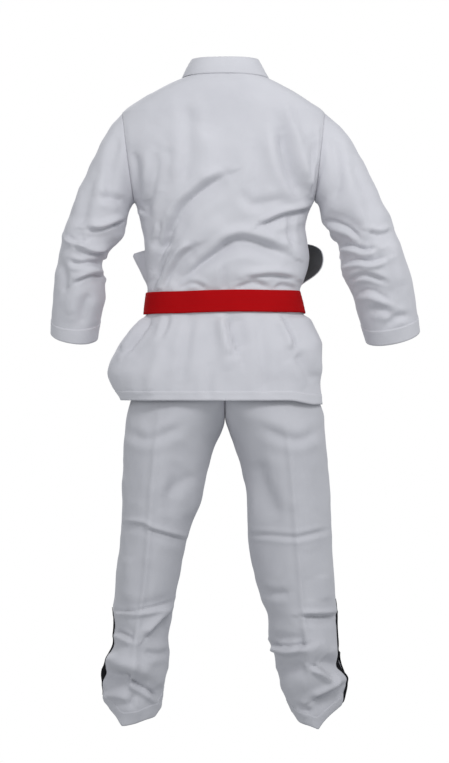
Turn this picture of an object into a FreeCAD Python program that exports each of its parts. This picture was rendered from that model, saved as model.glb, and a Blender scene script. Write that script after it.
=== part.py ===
"""Martial arts uniform: crossed jacket, tied belt and trousers, as worn but with nobody inside.

Millimetres, +Z up. The wearer faces -Y, so +X is the wearer's left side. The origin is the
middle of the neck opening, at the seam where the collar band is sewn to the jacket.
Every panel is a thin curved sheet cut out of a nested set of smooth body shapes, so the
layers that lie on each other on the real garment lie on each other here with a small gap.
"""
import FreeCAD, Part
import math
import os

V = FreeCAD.Vector
OUT = "parts"
REACH = 2000.0           # side of the blocks that stand for half spaces
CRUMB = 0.001            # share of a piece under which a loose bit left by a cut is dropped

# Cloth
CLOTH = 2.0              # one panel with its lining or seam allowance
BAND = 2.6               # folded bands and hems, a little thicker than a panel
LAYER_GAP = 0.4          # air between panels that lie on each other
UNDER_LAYER = BAND + LAYER_GAP        # depth of the wearer's right front, under the left one
CREASE_POINTS = 24       # points round each body section

# Neck and collar
NECK_TILT = 2.0          # degrees, the neck seam rises to the nape
NECK_Y = 15.0            # middle of the neck, behind the shoulder line
COLLAR_TOP = 35.0        # height of the collar's level top at the neck's middle
COLLAR_THICK = 3.4
COLLAR_FRONT = -20.0     # the collar band ends here, where the lapels go on down
COLLAR = [                # rise over the neck seam, half width, half depth, shift backwards
    (-6, 90, 75, -1),
    (20, 79, 68, 2),
    (48, 66, 60, 5),
]

# Jacket body: height, half width, half depth, middle in X and in Y, tilt, and the share of an
# inset that is taken downwards
JACKET_POWER = 2.2
JACKET = [
    (14, 80, 67, 0, NECK_Y, NECK_TILT, 0.8),
    (0, 87, 72, 0, NECK_Y, NECK_TILT, 0.8),
    (-30, 144, 80, 0, 12, 1, 0.8),
    (-62, 195, 95, 0, 4, 0, 0.8),
    (-110, 200, 105, 0, 0, 0, 0.2),
    (-162, 198, 115, 0, 0, 0, 0),
    (-262, 184, 122, 0, 0, 0, 0),
    (-340, 168, 118, 0, 0, 0, 0),
    (-400, 160, 112, 0, 0, 0, 0),
    (-449, 155, 108, 0, 0, 0, 0),
    (-498, 164, 112, 0, 0, 0, 0),
    (-535, 192, 123, 6, 0, 0, 0),
    (-577, 217, 135, 13, 0, 0, 0),
    (-619, 223, 142, 18, 0, 0, 0),
    (-647, 218, 144, 14, 0, 0, 0),
    (-676, 212, 145, 8, 0, 0, 0),
    (-700, 209, 146, 5, 0, 0, 0),
    (-730, 207, 146, 3, 0, 0, 0),
]
JACKET_HEM = -676.0
HEM_WIDTH = 20.0
VENT_TOP = -560.0        # side slits of the skirt
VENT_WIDTH = 12.0        # opening of a slit a little below the hem
VENT_LOW = -685.0
SEAM_LAP = 12.0          # the right front's seam allowance behind the back panel

# Shoulders: the ball on which a sleeve head turns about the front-to-back axis
SHOULDER = (172.0, 0.0, -162.0)
SHOULDER_RADIUS = 94.0
SHOULDER_DEPTH = 78.0
BALL_GAP = 1.0           # air between a ball and the piece that turns on it
BALL_LAP = 14.0          # how far a ball reaches in under the rim of that piece

# Sleeves: middle X outwards, height, half width, half depth, middle in Y
LEFT_SLEEVE = [
    (205, -130, 48, 55, 0),
    (223, -170, 50, 67, 0),
    (240, -215, 55, 75, 3),
    (256, -267, 57, 78, 5),
    (292, -360, 50, 78, 0),
    (310, -470, 51, 74, -25),
    (319, -550, 49, 72, -45),
    (324, -610, 48, 71, -60),
]
RIGHT_SLEEVE = [
    (207, -130, 48, 55, 0),
    (231, -170, 50, 67, 0),
    (248, -215, 56, 75, 3),
    (265, -267, 60, 78, 5),
    (307, -360, 59, 78, 0),
    (333, -450, 60, 74, -20),
    (356, -546, 56, 68, -45),
    (366, -610, 55, 66, -60),
]
LEFT_LEAN = 14.0         # degrees of each sleeve away from straight down
RIGHT_LEAN = 18.0
LEFT_CUFF = (319.0, -541.0, 0.19)     # middle X, height there, rise per mm outwards
RIGHT_CUFF = (356.0, -544.0, 0.28)
CUFF_DROP = 0.28         # fall of the cuff's edge per mm backwards
CUFF_WIDTH = 42.0

# Front edges: X and height of the corners of the wearer's left edge, mirrored for the right
LAPEL_LINE = [(80, 30), (80, 0), (20, -170), (-150, -380), (-150, -700)]
LAPEL_WIDTH = 52.0       # across, measured level

# The stretch of the left front's free edge that stands off the wearer's right side
FLAP_ROOT_Y = -56.0
FLAP_EDGE_Y = -4.0
FLAP_ROOT = [(-147, -376), (-142.3, -408), (-138, -440)]
FLAP_EDGE = [(-168, -334), (-204, -378), (-164, -428)]

# Belt, wound twice and knotted at the front
BELT_WIDTH = 45.0
BELT_CLOTH = 3.0
BELT_TOP = -449.0
BELT_OFFSET = 4.0        # the outer turn lies this much lower than the inner one
KNOT = (56.0, 27.0, 46.0)
KNOT_BACK = -119.5       # the knot lies on the front of the outer turn
KNOT_LOW = -498.0
KNOT_ROUND = 9.0
TAIL_LENGTH = 265.0
TAIL_THICK = 4.0
TAIL_ROUND = 1.6
TAIL_FORWARD = 10.0      # degrees that the tails lean forward, on the skirt
TAIL_SPREAD = 9.0        # degrees between each tail and straight down, seen from the front
TAIL_X = 26.0            # where a tail leaves the knot
TAIL_Y = -133.0
TAIL_TOP = -505.5

# Small inner pieces
YOKE = (230.0, -228.0, -44.0)        # width, lower and upper edge
LABEL = (52.0, 60.0)
LABEL_TOP = -34.0
LABEL_THICK = 1.0
TIE = (14.0, 1.6, 105.0)
TIE_LOW = -497.0
TIE_PLACES = {                       # middle X, and 1 behind or -1 in front of the side seams
    "tie_outer_edge": (-112, -1),
    "tie_outer_seam": (-118, 1),
    "tie_inner_edge": (112, -1),
    "tie_inner_seam": (118, 1),
}

# Trousers: height, half width, half depth
SEAT_POWER = 2.2
SEAT = [
    (-498, 152, 98),
    (-540, 166, 106),
    (-577, 177, 116),
    (-618, 184, 124),
    (-676, 189, 128),
    (-716, 202, 127),
]
WAIST_TOP = -505.0
WAISTBAND = 35.0
ELASTIC = (1.5, 29.0)    # thickness and width
HIP = (105.0, 0.0, -708.0)
HIP_REACH = 97.0         # ball's half width
HIP_RADIUS = 124.0       # ball's radius about the side-to-side axis
HIP_FAN = 60.0           # degrees in front and behind straight down that a leg covers on its ball

# Legs: height, middle X outwards, half width, half depth, middle in Y
LEG_POWER = 1.75         # under 2 gives the pressed creases at the front and back
LEFT_LEG = [
    (-700, 104, 97, 122, 0),
    (-780, 118, 92, 112, 0),
    (-886, 134, 85, 105, 0),
    (-990, 146, 77, 100, 0),
    (-1095, 161, 71, 98, -3),
    (-1200, 174, 64, 96, -6),
    (-1270, 189, 67, 94, -8),
    (-1385, 186, 58, 92, -12),
]
RIGHT_LEG = [
    (-700, 104, 97, 122, 0),
    (-780, 114, 94, 112, 0),
    (-886, 130, 91, 105, 0),
    (-990, 144, 85, 100, 0),
    (-1095, 157, 80, 98, -3),
    (-1200, 176, 68, 96, -6),
    (-1270, 190, 65, 94, -8),
    (-1385, 180, 52, 92, -12),
]
LEG_HEM_HEIGHT = -1303.0     # at the leg's side seams
LEG_HEM_RISE = 0.2           # rise per mm outwards
LEG_HEM_BACK = 0.68          # fall per mm backwards, behind the side seams
LEG_HEM_FRONT = 0.2          # the same in front of them
LEG_HEM_X = 190.0
LEG_HEM_WIDTH = 30.0
TAPE_WIDTH = 24.0
TAPE_Y = -5.0                # middle of the tape
TAPE_X = 175.0               # nothing nearer the middle than this belongs to it
TAPE_TOP = -1118.0
TAPE_BOTTOM = -1288.0
TAPE_GAP = 0.2
TAPE_THICK = 1.0


def superellipse(centre, half_width, half_depth, power, lean=0.0, tilt=0.0):
    """Smooth closed outline; lean turns its width in XZ, tilt turns its depth in YZ."""
    across = V(math.cos(math.radians(lean)), 0, math.sin(math.radians(lean)))
    along = V(0, math.cos(math.radians(tilt)), math.sin(math.radians(tilt)))
    points = []
    for step in range(CREASE_POINTS):
        angle = 2 * math.pi * step / CREASE_POINTS + math.pi / 4
        c = math.cos(angle)
        s = math.sin(angle)
        u = half_width * math.copysign(abs(c) ** (2 / power), c)
        v = half_depth * math.copysign(abs(s) ** (2 / power), s)
        points.append(centre + across * u + along * v)
    curve = Part.BSplineCurve()
    curve.interpolate(Points=points, PeriodicFlag=True)
    return Part.Wire([curve.toShape()])


def half_space(point, normal):
    """A very large block whose one face passes through point, on the side normal points to."""
    block = Part.makeBox(REACH, REACH, REACH, V(-REACH / 2, -REACH / 2, 0))
    turn = FreeCAD.Rotation(V(0, 0, 1), V(*normal))
    block.Placement = FreeCAD.Placement(V(*point), turn)
    return block


def level_slab(low, high):
    """Everything between two heights."""
    return Part.makeBox(REACH, REACH, high - low, V(-REACH / 2, -REACH / 2, low))


def ball(centre, axis, axial, radius):
    """A sphere of radius squeezed to axial along one axis, so that it is round about that axis."""
    squeeze = [axial / radius if along else 1.0 for along in axis]
    matrix = FreeCAD.Matrix()
    matrix.scale(*squeeze)
    body = Part.makeSphere(radius).transformGeometry(matrix)
    body.translate(V(*centre))
    return body


def hollowed(outer, regions, cutters):
    """What of a solid lies in every region, less every cutter."""
    piece = outer
    for region in regions:
        piece = piece.common(region)
    for cutter in cutters:
        piece = piece.cut(cutter)
    return piece


def prism_y(corners, y_low, y_high):
    """A polygon of X and height corners, drawn out between two values of Y."""
    points = [V(x, y_low, z) for x, z in corners]
    face = Part.Face(Part.makePolygon(points + points[:1]))
    return face.extrude(V(0, y_high - y_low, 0))


def mirrored(stations, side):
    """Stations of a limb on one side: side is 1 for the wearer's left and -1 for the right."""
    return [(side * station[0],) + tuple(station[1:]) for station in stations]


def jacket_body(inset):
    """The jacket's body as a solid, shrunk by inset."""
    wires = []
    for height, half_width, half_depth, across, along, tilt, fall in JACKET:
        centre = V(across, along, height - inset * fall)
        wires.append(superellipse(centre, half_width - inset, half_depth - inset, JACKET_POWER, 0, tilt))
    return Part.makeLoft(wires, True, False)


def shoulder_ball(side, grow=0.0):
    """The ball of one shoulder, grown by grow."""
    centre = (side * SHOULDER[0], SHOULDER[1], SHOULDER[2])
    return ball(centre, (0, 1, 0), SHOULDER_DEPTH + grow, SHOULDER_RADIUS + grow)


def sleeve_solid(side, inset):
    """One sleeve as a solid tube, from inside its shoulder to below its cuff."""
    stations = LEFT_SLEEVE if side > 0 else RIGHT_SLEEVE
    lean = side * (LEFT_LEAN if side > 0 else RIGHT_LEAN)
    wires = []
    for x, z, half_width, half_depth, middle in mirrored(stations, side):
        wires.append(superellipse(V(x, middle, z), half_width - inset, half_depth - inset, 2.0, lean))
    return Part.makeLoft(wires, True, False)


def cuff_plane(side, above=0.0):
    """Point and upward normal of a cuff's edge, or of a plane parallel to it above."""
    x, z, rise = LEFT_CUFF if side > 0 else RIGHT_CUFF
    normal = V(-side * rise, CUFF_DROP, 1).normalize()
    point = V(side * x, 0, z) + normal * above
    return (point.x, point.y, point.z), (normal.x, normal.y, normal.z)


def moved_line(shift):
    """The wearer's left front edge moved by shift towards the wearer's left."""
    return [(x + shift, z) for x, z in LAPEL_LINE]


def front_region(side, near, far):
    """Prism over what lies between two parallels of a front edge, near and far from it."""
    inner = moved_line(near)
    outer = moved_line(far) if far else [(REACH / 4, LAPEL_LINE[end][1]) for end in (0, -1)]
    corners = inner + outer[::-1]
    return prism_y([(side * x, z) for x, z in corners], -REACH / 4, 0 if side > 0 else SEAM_LAP)


def vents():
    """Wedges that open the skirt at both side seams."""
    points = [V(0, 0, VENT_TOP), V(0, -VENT_WIDTH / 2, VENT_LOW), V(0, VENT_WIDTH / 2, VENT_LOW)]
    face = Part.Face(Part.makePolygon(points + points[:1]))
    wedge = face.extrude(V(REACH / 2, 0, 0))
    wedge.translate(V(-REACH / 4, 0, 0))
    return wedge


def lap_end():
    """The seam allowance stops where the side slits start."""
    return Part.makeBox(REACH / 2, SEAM_LAP + 1, VENT_TOP + REACH / 2, V(-REACH / 4, 0, -REACH / 2))


def neck_side(above):
    """Half space under the neck seam, or over it."""
    tilt = math.radians(NECK_TILT)
    sign = 1 if above else -1
    return half_space((0, NECK_Y, 0), (0, -sign * math.sin(tilt), sign * math.cos(tilt)))


def flap():
    """The bowed end of the left front's free edge, one thin leaf."""
    wires = []
    for y, line in ((FLAP_ROOT_Y, FLAP_ROOT), (FLAP_EDGE_Y, FLAP_EDGE)):
        outer = [V(x, y, z) for x, z in line]
        inner = [V(x + CLOTH, y, z) for x, z in line]
        arc_out = Part.Arc(*outer).toShape()
        arc_in = Part.Arc(*inner).toShape()
        ends = [Part.makeLine(outer[-1], inner[-1]), Part.makeLine(inner[0], outer[0])]
        wires.append(Part.Wire(Part.__sortEdges__([arc_out, ends[0], arc_in, ends[1]])))
    return Part.makeLoft(wires, True, True)


def single(shape):
    """The one solid of a cut, without its crumbs."""
    solids = sorted(shape.removeSplitter().Solids, key=lambda item: -item.Volume)
    kept = [item for item in solids if item.Volume > solids[0].Volume * CRUMB]
    return kept[0] if len(kept) == 1 else Part.makeCompound(kept)


def make_jacket(nodes):
    """Panels, hems, collar and lapels."""
    under = UNDER_LAYER
    body = {inset: jacket_body(inset) for inset in (0, CLOTH, BAND, under, under + CLOTH, under + BAND)}
    armholes = [shoulder_ball(side, -CLOTH) for side in (1, -1)]
    below_neck = neck_side(False)
    slits = vents()
    back = half_space((0, 0, 0), (0, 1, 0))
    left = front_region(1, LAPEL_WIDTH, None)
    right = front_region(-1, LAPEL_WIDTH, None)
    left_band = front_region(1, 0, LAPEL_WIDTH)
    right_band = front_region(-1, 0, LAPEL_WIDTH)
    upper = level_slab(JACKET_HEM + HEM_WIDTH, 100)
    hem = level_slab(JACKET_HEM, JACKET_HEM + HEM_WIDTH)
    whole = level_slab(JACKET_HEM, 100)

    def panel(place, heights, outside, thick, *cuts):
        return hollowed(body[outside], (below_neck, heights, place),
                        [body[outside + thick]] + armholes + list(cuts))

    nodes["jacket_back"] = panel(back, upper, 0, CLOTH, slits)
    nodes["hem_back"] = panel(back, hem, 0, BAND, slits)
    nodes["jacket_front_left"] = panel(left, upper, 0, CLOTH, slits)
    nodes["hem_front_left"] = panel(left, hem, 0, BAND, slits)
    nodes["lapel_left"] = panel(left_band, whole, 0, BAND).fuse(flap().cut(body[BAND]))
    nodes["jacket_front_right"] = panel(right, upper, under, CLOTH, slits, lap_end())
    nodes["hem_front_right"] = panel(right, hem, under, BAND, slits, lap_end())
    nodes["lapel_right"] = panel(right_band, whole, under, BAND)
    width, low, high = YOKE
    yoke = Part.makeBox(width, REACH / 4, high - low, V(-width / 2, SEAM_LAP + 2, low))
    nodes["yoke_lining"] = hollowed(jacket_body(under), (yoke,), [jacket_body(under + CLOTH)])
    for name, side in (("sleeve_head_left", 1), ("sleeve_head_right", -1)):
        nodes[name] = hollowed(shoulder_ball(side), (), [shoulder_ball(side, -CLOTH), body[0],
                                                         sleeve_solid(side, BALL_LAP)])


def make_collar(nodes):
    """Stand-up band round the back and sides of the neck."""
    def ring(inset):
        wires = []
        for rise, half_width, half_depth, shift in COLLAR:
            centre = V(0, NECK_Y + shift, rise)
            wires.append(superellipse(centre, half_width - inset, half_depth - inset, JACKET_POWER, 0,
                                      NECK_TILT))
        return Part.makeLoft(wires, True, False)

    below_top = half_space((0, NECK_Y, COLLAR_TOP), (0, 0, -1))
    behind = half_space((0, COLLAR_FRONT, 0), (0, 1, 0))
    nodes["collar_band"] = hollowed(ring(0), (neck_side(True), below_top, behind), [ring(COLLAR_THICK)])


def make_label(nodes):
    """The blank label inside the nape, on the yoke lining."""
    depth = UNDER_LAYER + CLOTH + LAYER_GAP
    corner = V(-LABEL[0] / 2, 0, LABEL_TOP - LABEL[1])
    place = Part.makeBox(LABEL[0], REACH / 4, LABEL[1], corner)
    nodes["neck_label"] = hollowed(jacket_body(depth), (place,), [jacket_body(depth + LABEL_THICK)])


def make_ties(nodes):
    """Four flat tapes that close the jacket, hanging inside it over the hips."""
    width, thick, length = TIE
    depth = UNDER_LAYER + BAND + LAYER_GAP
    outer = jacket_body(depth)
    inner = jacket_body(depth + thick)
    for name, (x, side) in TIE_PLACES.items():
        corner = V(x - width / 2, 0 if side > 0 else -REACH / 4, TIE_LOW)
        strip = Part.makeBox(width, REACH / 4, length, corner)
        nodes[name] = hollowed(outer, (strip,), [inner])


def make_belt(nodes):
    """Two turns, the knot and two tails."""
    for name, lift, drop in (("belt_inner_wrap", LAYER_GAP, 0),
                             ("belt_outer_wrap", 2 * LAYER_GAP + BELT_CLOTH, BELT_OFFSET)):
        turn = level_slab(BELT_TOP - drop - BELT_WIDTH, BELT_TOP - drop)
        nodes[name] = hollowed(jacket_body(-lift - BELT_CLOTH), (turn,), [jacket_body(-lift)])
    width, depth, height = KNOT
    knot = Part.makeBox(width, depth, height, V(-width / 2, KNOT_BACK - depth, KNOT_LOW))
    nodes["belt_knot"] = knot.makeFillet(KNOT_ROUND, knot.Edges)
    for name, side in (("belt_tail_left", 1), ("belt_tail_right", -1)):
        tail = Part.makeBox(BELT_WIDTH, TAIL_THICK, TAIL_LENGTH,
                            V(-BELT_WIDTH / 2, -TAIL_THICK / 2, -TAIL_LENGTH))
        tail = tail.makeFillet(TAIL_ROUND, tail.Edges)
        tail.rotate(V(0, 0, 0), V(0, 1, 0), -side * TAIL_SPREAD)
        tail.rotate(V(0, 0, 0), V(1, 0, 0), -TAIL_FORWARD)
        tail.translate(V(side * TAIL_X, TAIL_Y, TAIL_TOP))
        nodes[name] = tail


def make_sleeve(nodes, side, name):
    """One sleeve and its cuff band."""
    clear = shoulder_ball(side, BALL_GAP)
    outer = sleeve_solid(side, 0).cut(clear)
    edge = half_space(*cuff_plane(side))
    over_band = half_space(*cuff_plane(side, CUFF_WIDTH))
    nodes["sleeve_" + name] = hollowed(outer, (over_band,), [sleeve_solid(side, CLOTH)])
    nodes["cuff_" + name] = hollowed(outer.cut(over_band), (edge,), [sleeve_solid(side, BAND)])


def seat_body(inset):
    """The trousers' seat as a solid, shrunk by inset."""
    wires = []
    for height, half_width, half_depth in SEAT:
        wires.append(superellipse(V(0, 0, height), half_width - inset, half_depth - inset, SEAT_POWER))
    return Part.makeLoft(wires, True, False)


def hip_ball(side, grow=0.0):
    """The ball of one hip, grown by grow."""
    centre = (side * HIP[0], HIP[1], HIP[2])
    return ball(centre, (1, 0, 0), HIP_REACH + grow, HIP_RADIUS + grow)


def leg_solid(side, inset):
    """One trouser leg as a solid tube."""
    stations = LEFT_LEG if side > 0 else RIGHT_LEG
    wires = []
    for z, x, half_width, half_depth, middle in stations:
        wires.append(superellipse(V(side * x, middle, z), half_width - inset, half_depth - inset,
                                  LEG_POWER))
    return Part.makeLoft(wires, True, False)


def below_hem(side, above):
    """What lies below a leg's hem line, moved up by above: the hem falls to a point at the back."""
    point = (side * LEG_HEM_X, 0, LEG_HEM_HEIGHT + above)
    back = half_space(point, (side * LEG_HEM_RISE, -LEG_HEM_BACK, -1))
    front = half_space(point, (side * LEG_HEM_RISE, -LEG_HEM_FRONT, -1))
    return back.common(front)


def hip_fan():
    """The wedge in which a leg's cloth stays on its hip ball."""
    fan = math.radians(HIP_FAN)
    before, behind = [half_space(HIP, (0, forward * math.cos(fan), -math.sin(fan))) for forward in (1, -1)]
    return before.common(behind)


def make_seat(nodes):
    """Seat halves, hip pieces, waistband with its elastic, and the crotch gusset."""
    seat_low = HIP[2]
    seat = level_slab(seat_low, WAIST_TOP - WAISTBAND)
    under_seat = level_slab(seat_low - HIP_RADIUS - BALL_GAP, seat_low - LAYER_GAP)
    for name, side in (("left", 1), ("right", -1)):
        half = half_space((0, 0, 0), (side, 0, 0))
        nodes["seat_" + name] = hollowed(seat_body(0), (seat, half), [seat_body(CLOTH)])
        nodes["hip_" + name] = hollowed(hip_ball(side), (under_seat,), [hip_ball(side, -CLOTH),
                                                                       leg_solid(side, BALL_LAP)])
    floor = level_slab(seat_low, seat_low + CLOTH)
    nodes["crotch_gusset"] = hollowed(seat_body(CLOTH + LAYER_GAP), (floor,),
                                      [hip_ball(side, -CLOTH) for side in (1, -1)])
    band = level_slab(WAIST_TOP - WAISTBAND, WAIST_TOP)
    nodes["waistband"] = hollowed(seat_body(-LAYER_GAP), (band,), [seat_body(BAND)])
    thick, width = ELASTIC
    start = BAND + LAYER_GAP
    low = WAIST_TOP - (WAISTBAND + width) / 2
    nodes["waist_elastic"] = hollowed(seat_body(start), (level_slab(low, low + width),),
                                      [seat_body(start + thick)])


def make_leg(nodes, side, name):
    """One leg, its hem band and the plain tape on its outer seam."""
    outer = leg_solid(side, 0).cut(hip_ball(side, BALL_GAP)).common(hip_fan())
    off = below_hem(side, 0)
    hem = below_hem(side, LEG_HEM_WIDTH)
    nodes["leg_" + name] = outer.cut(hem).cut(leg_solid(side, CLOTH))
    nodes["leg_hem_" + name] = outer.common(hem).cut(off).cut(leg_solid(side, BAND))
    corner = V(-REACH / 8, TAPE_Y - TAPE_WIDTH / 2, TAPE_BOTTOM)
    strip = Part.makeBox(REACH / 4, TAPE_WIDTH, TAPE_TOP - TAPE_BOTTOM, corner)
    strip.translate(V(side * (TAPE_X + REACH / 8), 0, 0))
    nodes["side_tape_" + name] = hollowed(leg_solid(side, -TAPE_GAP - TAPE_THICK), (strip,),
                                          [leg_solid(side, -TAPE_GAP)])


def main():
    """Build every piece and write one STEP file for each."""
    os.makedirs(OUT, exist_ok=True)
    nodes = {}
    make_jacket(nodes)
    make_collar(nodes)
    make_label(nodes)
    make_ties(nodes)
    make_belt(nodes)
    make_sleeve(nodes, 1, "left")
    make_sleeve(nodes, -1, "right")
    make_seat(nodes)
    make_leg(nodes, 1, "left")
    make_leg(nodes, -1, "right")
    for name, shape in nodes.items():
        piece = single(shape)
        print(name, len(piece.Solids), round(piece.Volume / 1000, 1), piece.isValid(), piece.BoundBox)
        piece.exportStep(os.path.join(OUT, name + ".step"))


main()
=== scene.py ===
"""Martial arts uniform seen from behind: jacket, tied belt and trousers, as cloth.

Shapes are worked out in millimetres and written in metres. +X is the wearer's left, -Y the front.
"""

import bpy
import math
import numpy as np
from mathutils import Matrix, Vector


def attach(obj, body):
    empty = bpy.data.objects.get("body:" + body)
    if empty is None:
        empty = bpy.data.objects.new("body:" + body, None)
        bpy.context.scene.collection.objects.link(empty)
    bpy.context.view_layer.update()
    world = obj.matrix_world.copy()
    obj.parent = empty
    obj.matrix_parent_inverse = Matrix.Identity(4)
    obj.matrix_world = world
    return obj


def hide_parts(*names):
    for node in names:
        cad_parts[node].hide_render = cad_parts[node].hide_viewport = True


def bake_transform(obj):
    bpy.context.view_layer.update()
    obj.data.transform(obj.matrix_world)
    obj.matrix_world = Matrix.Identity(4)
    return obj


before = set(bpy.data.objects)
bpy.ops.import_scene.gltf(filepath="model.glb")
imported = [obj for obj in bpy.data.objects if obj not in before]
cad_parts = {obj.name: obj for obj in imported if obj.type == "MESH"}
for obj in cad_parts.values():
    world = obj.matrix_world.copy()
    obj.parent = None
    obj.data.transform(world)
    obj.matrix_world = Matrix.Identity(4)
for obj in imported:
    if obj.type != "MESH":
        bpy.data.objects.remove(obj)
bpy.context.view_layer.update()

SIDES = ((1, "left"), (-1, "right"))
MM = 0.001
EYE = 5000           # distance of the eye behind the uniform, and its height
AIM = -637
CLOTH = 1.5          # thickness of one panel
BAND = 2.4           # thickness of hems, cuffs and lapels
POWER = 2.2          # squareness of the jacket's cross-section
STRENGTH = 1.9       # of every drawn fold

# Half depth and middle of the jacket at each height
DEPTH = [(12, 72, 15), (0, 72, 15), (-30, 82, 12), (-62, 96, 4), (-110, 106, 0), (-162, 115, 0),
         (-262, 122, 0), (-340, 118, 0), (-400, 112, 0), (-449, 108, 0), (-498, 112, 0), (-540, 124, 0),
         (-618, 140, 0), (-690, 144, 0)]
# Armhole: middle X, half width, middle height, half height, depth to each side
ARMHOLE = {1: (202.5, 12.5, -168, 94, 65), -1: (198, 10, -165, 92, 65)}
# Side edges of the jacket below the armholes, and the shoulder seams above them
SIDE = {1: [(-268, 186), (-311, 175), (-340, 168), (-385, 165), (-425, 163), (-445, 162.5), (-497, 165),
            (-516, 182), (-539, 207), (-577, 231), (-600, 242), (-619, 246), (-647, 236.5), (-673, 220),
            (-690, 214)],
        -1: [(-268, 182), (-290, 173), (-316, 168), (-345, 172), (-375, 176), (-395, 174), (-426, 165),
             (-445, 157), (-497, 165), (-506, 179), (-525, 189), (-543, 198), (-561, 204), (-613, 204),
             (-640, 199.5), (-665, 202.5), (-690, 205)]}
SHOULDER = {1: [(-4, 87), (-10, 103), (-17, 119), (-34, 151), (-52, 183), (-66, 206)],
            -1: [(-4, 87), (-10, 103), (-17, 119), (-34, 151), (-52, 179), (-66, 201)]}
NECK = (87, 72, 15, -4)      # half width, half depth, middle Y and height of the neck seam
NECK_RISE = 3        # the neck seam is this much higher at the nape
COLLAR = (68.5, 62, 18, 35)  # the same of the collar's upper edge
HEM_Z = -676
HEM_WIDTH = 18
VENT_TOP = -560
BELT = (-447, -495)  # the belt's upper and lower edge
LAPEL = [(80, 30), (80, 0), (20, -170), (-150, -380), (-150, -700)]
LAPEL_WIDTH = 52
LOBE = (325, 366, 400, 443)  # how far down the outer front's free edge leaves the side, and returns
LOBE_SETBACK = 66    # the lapel's seam goes back this far behind the loose edge
LOOSE_X = 150        # and past here the edge no longer lies on the body
LOBE_EDGE = [(-300, -86), (-318, -102), (-329, -116), (-336, -134), (-341, -154), (-346, -173), (-351, -188),
             (-358, -198), (-366, -203), (-379, -205), (-394, -203), (-405, -197), (-415, -186), (-424, -172),
             (-433, -160), (-445, -152), (-460, -150)]
UNDER = 3.6          # how deep the under front lies

# Sleeves: outer X, Z; inner X, Z; half depth; middle Y
SLEEVE = {
    1: [(215, -74, 190, -262, 65, 0), (236, -99, 192, -265, 67, 0), (262, -141, 195, -269, 70, 0),
        (281, -178, 200, -278, 73, 1), (296, -215, 206, -300, 76, 2), (312, -250, 213, -332, 78, 2),
        (329, -300, 236, -358, 79, 1), (344, -361, 254, -392, 78, 0), (355, -410, 253, -424, 77, -8),
        (362, -455, 252, -458, 75, -18), (367, -497, 262, -500, 73, -32), (368.5, -531, 270, -545, 71, -42)],
    -1: [(-208, -73, -188, -257, 65, 0), (-234, -97, -190, -260, 67, 0), (-263, -130, -195, -264, 70, 0),
         (-283, -165, -199, -272, 73, 1), (-300, -199, -202, -300, 76, 2), (-320, -240, -222, -324, 78, 2),
         (-338, -280, -240, -352, 79, 1), (-362, -334, -242, -385, 78, 0), (-380, -384, -252, -425, 77, -6),
         (-394, -425, -269, -458, 74, -16), (-404, -475, -280, -497, 71, -30),
         (-412, -528, -298, -552, 67, -42)]}
CUFF_FALL = 0.28
CUFF_WIDTH = 42

# Trousers: height, half width, half depth of the seat
SEAT = [(-505, 153, 99), (-540, 165, 106), (-618, 186, 124), (-676, 198, 127), (-708, 208, 125)]
CROTCH = -708
RISE = 62            # the crotch seam is this much higher at the front and back
# Legs: height, outer X, inner X, X of the pressed crease, half depth, middle Y
LEG = {
    1: [(-708, 213, 2, 134, 125, 0), (-764, 214, 19, 137, 115, 0), (-800, 214, 30, 141, 111, 0),
        (-857, 218, 44, 145, 107, 0), (-890, 217, 51, 150, 105, 0), (-930, 217, 69, 154, 103, 0),
        (-999, 223, 88, 162, 100, 0), (-1060, 229, 99, 169, 98, -2), (-1094, 232, 104, 174, 97, -3),
        (-1114, 235, 107, 177, 97, -3), (-1136, 234, 110, 182, 97, -4), (-1178, 232, 121, 188, 99, -5),
        (-1219, 247, 121, 193, 98, -6), (-1262, 258, 126, 196, 89, -7), (-1294, 253, 131, 201, 75, -8),
        (-1330, 246, 140, 206, 68, -9), (-1370, 236, 146, 211, 65, -10)],
    -1: [(-708, 209, 2, 122, 125, 0), (-735, 211, 17, 127, 119, 0), (-771, 214, 20, 131, 113, 0),
         (-806, 217, 31, 136, 110, 0), (-880, 223, 44, 142, 106, 0), (-945, 225, 46, 148, 103, 0),
         (-1002, 227, 53, 151, 100, 0), (-1092, 231, 75, 158, 98, -3), (-1130, 234, 90, 162, 97, -4),
         (-1185, 238, 93, 174, 99, -5), (-1235, 242, 110, 181, 91, -6), (-1268, 254, 119, 181, 81, -7),
         (-1300, 250, 128, 180, 73, -8), (-1336, 232, 142, 180, 68, -9), (-1375, 220, 150, 194, 64, -10)]}
# Lower edge of each leg seen from behind, from the outer seam to the inner one
LEG_EDGE = {1: [(256, -1288), (243, -1306), (227, -1332), (211, -1352), (188, -1348), (164, -1340),
                (150, -1337), (136, -1306)],
            -1: [(255, -1276), (242, -1304), (217, -1335), (197, -1355), (190, -1359), (172, -1352),
                 (152, -1347), (141, -1330)]}
LEG_FRONT_EDGE = -1296
LEG_HEM = 30
TAPE_TOP = -1118
TAIL_LENGTH = 272    # of each belt end below the knot
WAIST = (160, 151.5, 107.5)  # the belt's half width on the left and right, and its half depth
YOKE = (-24, -228, 126)      # upper and lower edge and half width, and the same of the label and the ties
LABEL = (-34, -94, 26)
TIE = (-392, -500, 7)
GUSSET = (92, 26)    # half length and half width
STITCH_WIDTH = 0.62
STITCH_HEIGHT = 0.42


# ---------------------------------------------------------------- numbers and grids

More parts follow.
